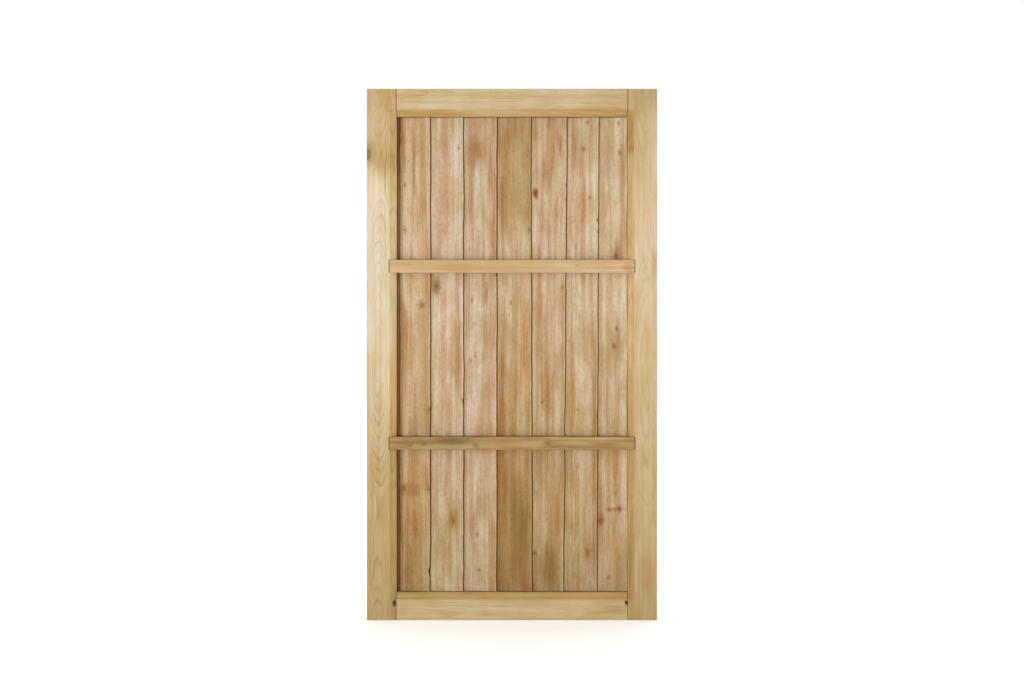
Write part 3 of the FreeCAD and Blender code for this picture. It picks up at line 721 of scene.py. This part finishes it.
sawnPine = {"sawn": True, "lateAmount": 0.36, "lateTint": "#cfae86", "streakTint": "#eddfcb",
            "fibreTint": "#f5ede2", "cloudTint": "#eee2d0", "mottleTint": "#f4ecdf",
            "oliveTint": "#f6f0dd", "blushTint": "#fbf1e7", "ringWidth": 5, "bow": 8, "wander": 40,
            "haloAmount": 0.4, "coreAmount": 0.65, "roughness": (0.72, 0.9), "specular": 0.12,
            "bumpStrength": 0.4, "bumpDepth": 0.5}
boards = [
    {"centre": -333, "pithAcross": -90, "pithDeep": 55, "lateTint": "#ddb393",
     "tones": [(100, "#90744e"), (300, "#967952"), (450, "#9e8157"), (560, "#a28661"), (800, "#a1845f"),
               (1040, "#ab8e6d"), (1180, "#af9574"), (1400, "#ae9471"), (1530, "#ac9170"),
               (1650, "#a88a66"), (1740, "#a88866")],
     "haloTint": "#c08a5c",
     "knots": [(-372, 1502, 4), (-372, 1345, 4), (-314, 1085, 6), (-282, 725, 5), (-376, 451, 6),
               (-285, 448, 6)],
     "stains": [(-377, 1070, 12, 45, "#8f5f40", 0.6), (-340, 1560, 8, 130, "#a97d52", 0.6),
                (-337, 329, 16, 60, "#a06c48", 0.5), (-345, 445, 40, 30, "#99704a", 0.5),
                (-370, 1000, 14, 70, "#aa7b55", 0.5), (-300, 480, 18, 60, "#a2723f", 0.5),
                (-290, 1200, 14, 160, "#c2a27a", 0.4), (-375, 1620, 10, 90, "#a37b52", 0.5),
                # the last stain darkens board 1 beside the left stile: painted shade
                (-383, 900, 9, 1500, "#94714a", 0.6)],
     "nicks": [(-286, 165, 9), (-281, 725, 5), (-280, 448, 6)], "cup": 0.8},
    {"centre": -222, "pithAcross": 20, "pithDeep": 45,
     "tones": [(100, "#a28c6a"), (300, "#9f8866"), (440, "#a48c6d"), (560, "#a68d6e"), (700, "#aa9477"),
               (920, "#b29d81"), (1040, "#b6a187"), (1150, "#ad947b"), (1400, "#ad9478"),
               (1520, "#b19b80"), (1640, "#ae997d"), (1740, "#a99475")],
     "knots": [(-185, 1630, 3), (-264, 1150, 6), (-169, 753, 5), (-204, 340, 5), (-166, 281, 4)],
     "stains": [(-264, 1150, 18, 45, "#9a7a55", 0.7), (-206, 340, 24, 44, "#9d8150", 0.6),
                (-230, 250, 30, 90, "#9f8560", 0.4), (-185, 950, 12, 300, "#ab8c63", 0.5),
                (-225, 1350, 22, 260, "#c5ae92", 0.5), (-250, 700, 14, 200, "#c0a785", 0.5),
                (-240, 1650, 25, 60, "#b39372", 0.4)],
     "nicks": [(-167, 753, 6), (-165, 281, 5)], "cup": 0.6},
    {"centre": -107, "pithAcross": 60, "pithDeep": 60,
     "tones": [(100, "#a08767"), (300, "#a28a6b"), (440, "#a78f71"), (570, "#ab9172"), (800, "#ab9378"),
               (920, "#ad957b"), (1150, "#ad9478"), (1400, "#ae977b"), (1540, "#b29c82"),
               (1640, "#ac9377"), (1740, "#a88e70")],
     "knots": [(-140, 1103, 2.5), (-144, 893, 3), (-128, 907, 3), (-130, 1020, 2.5), (-120, 289, 3),
               (-114, 167, 3), (-53, 1195, 5), (-53, 290, 4)],
     "stains": [(-126, 1618, 34, 70, "#a08461", 0.6), (-89, 1126, 8, 40, "#a8805a", 0.6),
                (-60, 1400, 14, 230, "#c0a68a", 0.6), (-140, 1450, 14, 160, "#a68a64", 0.5),
                (-75, 1560, 10, 90, "#9d7f5a", 0.5), (-62, 900, 14, 160, "#c2a888", 0.5),
                (-110, 430, 10, 130, "#a98865", 0.4)],
     "nicks": [(-50, 1195, 8), (-50, 1225, 6), (-49, 290, 4)], "cup": 0.9},
    {"centre": 10, "pithAcross": -40, "pithDeep": 70, "lateTint": "#d9b887",
     "tones": [(100, "#83643d"), (300, "#896a3d"), (440, "#88683c"), (560, "#95754c"), (680, "#9b8057"),
               (800, "#a58a64"), (920, "#a38a65"), (1040, "#a38a67"), (1150, "#aa9370"),
               (1290, "#a98e69"), (1400, "#9e825a"), (1520, "#9b7f56"), (1640, "#987b54"),
               (1740, "#957751")],
     "knots": [(59, 1345, 2.5), (-3, 1094, 2.5)],
     "stains": [(-25, 1500, 12, 240, "#a0793f", 0.5), (45, 950, 22, 260, "#c2a780", 0.75),
                (-38, 600, 12, 300, "#a67a49", 0.6), (25, 330, 40, 150, "#7f6638", 0.6),
                (30, 1680, 40, 50, "#9a8050", 0.4), (-35, 1400, 10, 120, "#9b7340", 0.5),
                (20, 200, 40, 90, "#85683d", 0.5), (50, 1530, 14, 150, "#a48b5e", 0.4),
                (-30, 850, 16, 220, "#a17b4d", 0.5)],
     "nicks": [(62, 1345, 5)], "cup": 0.7},
    {"centre": 128, "pithAcross": 30, "pithDeep": 50, "haloTint": "#b07a50",
     "tones": [(100, "#8d734f"), (220, "#917751"), (300, "#9e815e"), (560, "#9d835f"), (700, "#a48a67"),
               (920, "#a98e6e"), (1040, "#ac9074"), (1290, "#ae9576"), (1400, "#ae9375"),
               (1520, "#ab9071"), (1640, "#a48564"), (1740, "#a08060")],
     "knots": [(80, 1476, 5), (78, 226, 4), (174, 1145, 2), (107, 748, 2)],
     "stains": [(83, 1474, 9, 22, "#945c36", 0.8), (167, 1640, 6, 60, "#94704c", 0.7),
                (139, 1613, 8, 80, "#c0a07c", 0.6), (110, 1350, 14, 110, "#a9835c", 0.4),
                (110, 1560, 12, 60, "#a27c5c", 0.5), (90, 1100, 12, 180, "#bda186", 0.5),
                (130, 180, 30, 110, "#8a6d46", 0.6), (120, 850, 20, 200, "#a48258", 0.4)],
     "nicks": [(186, 1500, 6), (187, 1450, 5)], "cup": 0.9},
    {"centre": 242, "pithAcross": -20, "pithDeep": 55,
     "tones": [(100, "#967d5b"), (300, "#9b825e"), (440, "#9f8662"), (560, "#a28865"), (680, "#a68d6a"),
               (800, "#ac9473"), (1040, "#aa9270"), (1290, "#b09879"), (1520, "#b59f83"),
               (1640, "#af997c"), (1740, "#aa9474")],
     "knots": [(261, 1719, 3), (247, 1627, 4), (271, 1458, 3), (229, 723, 2.5), (262, 228, 6)],
     "stains": [(245, 1450, 16, 240, "#c2a888", 0.5), (285, 720, 14, 330, "#a07d4f", 0.6),
                (205, 850, 14, 260, "#c2a885", 0.6), (262, 250, 20, 80, "#a5895e", 0.5),
                (205, 400, 16, 160, "#bba27c", 0.5), (285, 220, 14, 130, "#937450", 0.5),
                (215, 1640, 12, 120, "#a48560", 0.4)],
     "nicks": [(298, 1380, 6), (299, 1340, 5), (292, 700, 5)], "cup": 0.6},
    {"centre": 348, "pithAcross": 10, "pithDeep": 50, "haloTint": "#b07d55", "coreTint": "#744226",
     "coreAmount": 0.8,
     "tones": [(100, "#967b59"), (300, "#a28865"), (440, "#a48b69"), (560, "#a88e6c"), (680, "#a68c6a"),
               (920, "#ad9677"), (1040, "#b6a285"), (1150, "#b69f80"), (1290, "#ad9776"),
               (1400, "#b39d7d"), (1520, "#ae977a"), (1640, "#ac9676"), (1740, "#a8916f")],
     "knots": [(375, 1613, 4), (370, 1715, 3), (360, 1255, 4), (363, 1004, 3), (354, 944, 4),
               (337, 377, 3.5), (372, 380, 5), (304, 335, 4), (335, 141, 3)],
     "stains": [(365, 1260, 24, 50, "#9f7c56", 0.6), (355, 378, 34, 9, "#a4714c", 0.6),
                (311, 345, 14, 26, "#9a6541", 0.6), (350, 570, 12, 180, "#c4a883", 0.6),
                (365, 950, 22, 90, "#a98863", 0.5), (310, 1000, 10, 220, "#c4aa88", 0.5),
                (350, 260, 12, 110, "#bfa27b", 0.5), (385, 1450, 10, 160, "#aa8c68", 0.4)],
     "nicks": [(302, 335, 5)], "cup": 0.7},
]

boardTree = makeBoardTree()
leftNeighbour = None
for number, (node, wood) in enumerate(zip(boardNames, boards), start=1):
    corners = boardCorners(node)
    if leftNeighbour is None:      # the first board has an open joint and nothing to lap behind
        # so its own left edge, beside the stile, takes the painted shade and dirt of a lap
        joint = {"footJoint": corners["footLeft"], "headJoint": corners["headLeft"]}
    else:
        joint = {"footJoint": leftNeighbour["footRight"], "headJoint": leftNeighbour["headRight"]}
    leftNeighbour = corners
    piece = newPiece("board" + str(number), bpy.data.meshes.new(node))
    grown = piece.modifiers.new("board", "NODES")
    grown.node_group = boardTree
    setInputs(grown, {**corners, **joint, "seed": float(number), "jointSeed": float(number - 1),
                      "stray": 1.6 * mm, "relief": 0.45 * mm, "cup": wood["cup"] * mm,
                      "wood": timberMaterial("sawnPine." + node, {**sawnPine, **wood, "log": number})})
    eased = piece.modifiers.new("eased", "BEVEL")
    eased.width = 0.9 * mm
    eased.segments = 2
    eased.limit_method = "ANGLE"
    eased.angle_limit = math.radians(50)
    bake(piece)
    for nick in wood["nicks"]:
        nickEdge(piece.data, *nick)
    finishMesh(piece)
    declare(piece, [node])
print("boards made")


# fasteners: galvanised wire nails and pins, one of them instanced at every place the design has one
def makeNailTree():
    tree, given, result = newGroup("wireNails", "GeometryNodeTree",
                                   {"places": "Geometry", "headWidth": "Float", "headDepth": "Float",
                                    "shankWidth": "Float", "shankLength": "Float", "way": "Float",
                                    "sunk": "Float", "lean": "Float", "metal": "Material"},
                                   {"nails": "Geometry"})
    headHalf, domeTop, domeDepth, discDepth, shankHalf, point = [
        addNode(tree, "ShaderNodeMath", {0: given[label], 1: part}, operation="MULTIPLY")
        for label, part in (("headWidth", 0.5), ("headWidth", 0.41), ("headDepth", 0.35),
                            ("headDepth", 0.65), ("shankWidth", 0.5), ("shankWidth", 1.4))]
    shaft = addNode(tree, "ShaderNodeMath", {0: given["shankLength"], 1: point}, operation="SUBTRACT")
    # each length of the nail is a cone frustum, stacked along Z with the head's face at zero
    parts, start = [], 0.0
    for depth, near, far in ((domeDepth, domeTop, headHalf), (discDepth, headHalf, headHalf),
                             (shaft, shankHalf, shankHalf), (point, shankHalf, 0.0002)):
        cone = addNode(tree, "GeometryNodeMeshCone", {"Vertices": 18, "Radius Top": far,
                                                      "Radius Bottom": near, "Depth": depth})
        offset = addNode(tree, "ShaderNodeCombineXYZ", {"Z": start})
        parts.append(addNode(tree, "GeometryNodeTransform", {"Geometry": cone, "Translation": offset}))
        start = addNode(tree, "ShaderNodeMath", {0: start, 1: depth}, operation="ADD")
    nail = addNode(tree, "GeometryNodeJoinGeometry")
    for part in parts:
        tree.links.new(part.outputs[0], nail.inputs[0])
    tilt = addNode(tree, "FunctionNodeRandomValue", {"Seed": 4}, data_type="FLOAT_VECTOR")
    tilt.inputs[0].default_value = (-1, -1, -9)
    tilt.inputs[1].default_value = (1, 1, 9)
    leant = addNode(tree, "ShaderNodeVectorMath", {0: tilt, "Scale": given["lean"]}, operation="SCALE")
    turned = addNode(tree, "ShaderNodeMath", {0: given["way"], 1: -math.pi / 2}, operation="MULTIPLY")
    facing = addNode(tree, "ShaderNodeCombineXYZ", {"X": turned})
    aim = addNode(tree, "ShaderNodeVectorMath", {0: facing, 1: leant}, operation="ADD")
    inward = addNode(tree, "ShaderNodeMath", {0: given["sunk"], 1: given["way"]}, operation="MULTIPLY")
    sink = addNode(tree, "ShaderNodeCombineXYZ", {"Y": inward})
    moved = addNode(tree, "GeometryNodeSetPosition", {"Geometry": given["places"], "Offset": sink})
    copies = addNode(tree, "GeometryNodeInstanceOnPoints", {"Points": moved, "Instance": nail,
                                                            "Rotation": aim})
    real = addNode(tree, "GeometryNodeRealizeInstances", {"Geometry": copies})
    steel = addNode(tree, "GeometryNodeSetMaterial", {"Geometry": real, "Material": given["metal"]})
    tree.links.new(steel.outputs[0], result.inputs["nails"])
    return tree


# hot-dip galvanised steel: dull grey with a soft spangle and a breath of tan rust
def galvanisedSteel():
    material, tree = newMaterial("galvanisedSteel")
    where = addNode(tree, "ShaderNodeTexCoord").outputs["Object"]
    spangle = addNode(tree, "ShaderNodeTexVoronoi", {"Vector": where, "Scale": 900.0})
    grey = addNode(tree, "ShaderNodeSeparateColor", {0: spangle.outputs["Color"]})
    tone = addNode(tree, "ShaderNodeValToRGB", {0: grey})
    setStops(tone, [(0.0, linear("#7d7f7f")), (1.0, linear("#a3a5a4"))])
    patch = addNode(tree, "ShaderNodeTexNoise", {"Vector": where, "Scale": 300.0, "Detail": 3.0})
    rusty = addNode(tree, "ShaderNodeMapRange", {0: patch, 1: 0.56, 2: 0.7, 3: 0.0, 4: 0.6})
    colour = layColours(tree, tone.outputs["Color"], [(rusty, "#8a6a4c", "MIX")])
    matt = addNode(tree, "ShaderNodeMapRange", {0: patch, 1: 0.3, 2: 0.7, 3: 0.38, 4: 0.6})
    bump = addNode(tree, "ShaderNodeBump", {"Strength": 0.3, "Distance": 0.0001, "Height": patch})
    shader = addNode(tree, "ShaderNodeBsdfPrincipled",
                     {"Base Color": colour, "Roughness": matt, "Normal": bump, "Metallic": 0.9})
    addNode(tree, "ShaderNodeOutputMaterial", {"Surface": shader})
    return material


# where each fastener of a node is, as the middle of its head's outer face, and how long one is
def headPlaces(node, way):
    work = bmesh.new()
    work.from_mesh(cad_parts[node].data)
    bmesh.ops.remove_doubles(work, verts=work.verts, dist=0.01 * mm)
    places, seen, length = [], set(), 0.0
    for start in work.verts:
        if start.index in seen:
            continue
        island, queue = [], [start]
        seen.add(start.index)
        while queue:
            vert = queue.pop()
            island.append(vert.co.copy())
            for edge in vert.link_edges:
                other = edge.other_vert(vert)
                if other.index not in seen:
                    seen.add(other.index)
                    queue.append(other)
        low = [min(p[i] for p in island) for i in range(3)]
        high = [max(p[i] for p in island) for i in range(3)]
        length = high[1] - low[1]
        y = high[1] if way < 0 else low[1]
        places.append(((low[0] + high[0]) / 2, y, (low[2] + high[2]) / 2))
    work.free()
    return sorted(places), length


nails = {      # widths and head depths in mm; way -1 is driven from the front, 1 from the back
    "ledgeNails": {"nodes": ["upper_ledge_nails", "lower_ledge_nails"], "way": -1, "headWidth": 5.8,
                   "headDepth": 1.3, "shankWidth": 2.8, "sunk": 0.25, "lean": 0.0},
    "boardNails": {"nodes": ["upper_board_nails", "lower_board_nails"], "way": -1, "headWidth": 5.0,
                   "headDepth": 1.1, "shankWidth": 2.2, "sunk": 0.1, "lean": 0.02},
    "boardPins": {"nodes": ["top_board_pins", "bottom_board_pins"], "way": 1, "headWidth": 3.5,
                  "headDepth": 0.8, "shankWidth": 1.8, "sunk": 0.5, "lean": 0.02},
}
pointRoom = 0.5      # mm by which a drawn nail stops short of its hole
nailTree, steel = makeNailTree(), galvanisedSteel()
for name, kind in nails.items():
    places, length = [], 0.0
    for node in kind["nodes"]:
        more, length = headPlaces(node, kind["way"])
        places += more
    mesh = bpy.data.meshes.new(name)
    mesh.from_pydata(places, [], [])
    piece = newPiece(name, mesh)
    driven = piece.modifiers.new("nails", "NODES")
    driven.node_group = nailTree
    setInputs(driven, {"headWidth": kind["headWidth"] * mm, "headDepth": kind["headDepth"] * mm,
                       "shankWidth": kind["shankWidth"] * mm, "way": float(kind["way"]),
                       "shankLength": length - (kind["headDepth"] + kind["sunk"] + pointRoom) * mm,
                       "sunk": kind["sunk"] * mm, "lean": kind["lean"], "metal": steel})
    bake(piece)
    finishMesh(piece)
    declare(piece, kind["nodes"])
print("nails and pins made")


# end grain: darker than the face, close rings and open pores
def endGrain(name, tone, ringTone, axis, ringWidth):
    material, tree = newMaterial(name)
    where = addNode(tree, "ShaderNodeTexCoord").outputs["Object"]
    flat = addNode(tree, "ShaderNodeVectorMath", {0: where, 1: axis}, operation="MULTIPLY")
    drift = addNode(tree, "ShaderNodeTexNoise", {"Vector": where, "Scale": 60.0, "Detail": 2.0})
    far = addNode(tree, "ShaderNodeVectorMath", {0: flat}, operation="LENGTH").outputs["Value"]
    uneven = addNode(tree, "ShaderNodeMath", {0: drift, 1: 0.004, 2: far}, operation="MULTIPLY_ADD")
    rings = addNode(tree, "ShaderNodeMath", {0: uneven, 1: ringWidth * mm}, operation="DIVIDE")
    season = addNode(tree, "ShaderNodeMath", {0: rings}, operation="FRACT")
    pores = addNode(tree, "ShaderNodeTexNoise", {"Vector": where, "Scale": 1800.0, "Detail": 2.0})
    specks = addNode(tree, "ShaderNodeMapRange", {0: pores, 1: 0.55, 2: 0.7, 3: 0.0, 4: 0.5})
    colour = layColours(tree, linear(tone), [(season, ringTone, "MIX"), (specks, "#6f4e30", "MIX")])
    bump = addNode(tree, "ShaderNodeBump", {"Strength": 0.4, "Distance": 0.0002, "Height": pores})
    shader = addNode(tree, "ShaderNodeBsdfPrincipled",
                     {"Base Color": colour, "Roughness": 0.78, "Normal": bump, "IOR": 1.5})
    addNode(tree, "ShaderNodeOutputMaterial", {"Surface": shader})
    return material


beech = endGrain("beechDowelEnd", "#b08a5c", "#94704a", (1, 0, 1), 1.6)
wedgeWood = endGrain("wedgeEndGrain", "#a98455", "#8c6a41", (0, 1, 1), 2.4)
for end in ("top", "bottom"):
    for node, material in ((end + "_joint_dowels", beech), (end + "_tenon_wedges", wedgeWood)):
        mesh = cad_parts[node].data
        mesh.materials.clear()
        mesh.materials.append(material)
print("dowels and wedges finished")

# matt white floor: pale, and lit a little from within so that it falls away to white
floorSize = 14.0
floorMesh = bpy.data.meshes.new("floor")
square = [(-1, -1), (1, -1), (1, 1), (-1, 1)]
floorMesh.from_pydata([(x * floorSize, y * floorSize, -0.5 * mm) for x, y in square], [], [(0, 1, 2, 3)])
floor = newPiece("floor", floorMesh)
paint, paintTree = newMaterial("mattWhiteFloor")
matte = addNode(paintTree, "ShaderNodeBsdfPrincipled",
                {"Base Color": linear("#fbfaf9"), "Roughness": 0.9,
                 "Emission Color": linear("#ffffff"), "Emission Strength": 0.2})
addNode(paintTree, "ShaderNodeOutputMaterial", {"Surface": matte})
floorMesh.materials.append(paint)

# white studio surround, and a big soft light on each side of the gate
scene = bpy.context.scene
scene.view_settings.view_transform = "Standard"
surround = bpy.data.worlds.new("studio")
scene.world = surround
surround.use_nodes = True
surround.node_tree.nodes["Background"].inputs["Color"].default_value = (1, 1, 1, 1)
surround.node_tree.nodes["Background"].inputs["Strength"].default_value = 1.0


def softLight(name, place, target, width, height, watts):
    light = bpy.data.lights.new(name, "AREA")
    light.color = linear("#fff6e6")[:3]
    light.shape, light.size, light.size_y, light.energy = "RECTANGLE", width, height, watts
    lamp = bpy.data.objects.new(name, light)
    lamp.location = place
    lamp.rotation_euler = (Vector(target) - Vector(place)).to_track_quat("-Z", "Y").to_euler()
    scene.collection.objects.link(lamp)


softLight("frontLight", (-1.3, -3.6, 0.35), (0, 0, 0.95), 1.6, 1.2, 56)
softLight("rearLight", (1.6, 3.4, 2.6), (0, 0, 0.9), 1.8, 1.4, 45)

# square on to the ledged back, from about 4 m, with the eye just above the middle
eye = {"distance": 4.0, "height": 0.9577, "seenWidth": 3.5256}
camera = bpy.data.cameras.new("camera")
camera.lens = camera.sensor_width * eye["distance"] / eye["seenWidth"]
viewer = bpy.data.objects.new("camera", camera)
viewer.location = (0, gateBack - eye["distance"], eye["height"])
viewer.rotation_euler = (math.pi / 2, 0, 0)
scene.collection.objects.link(viewer)
scene.camera = viewer
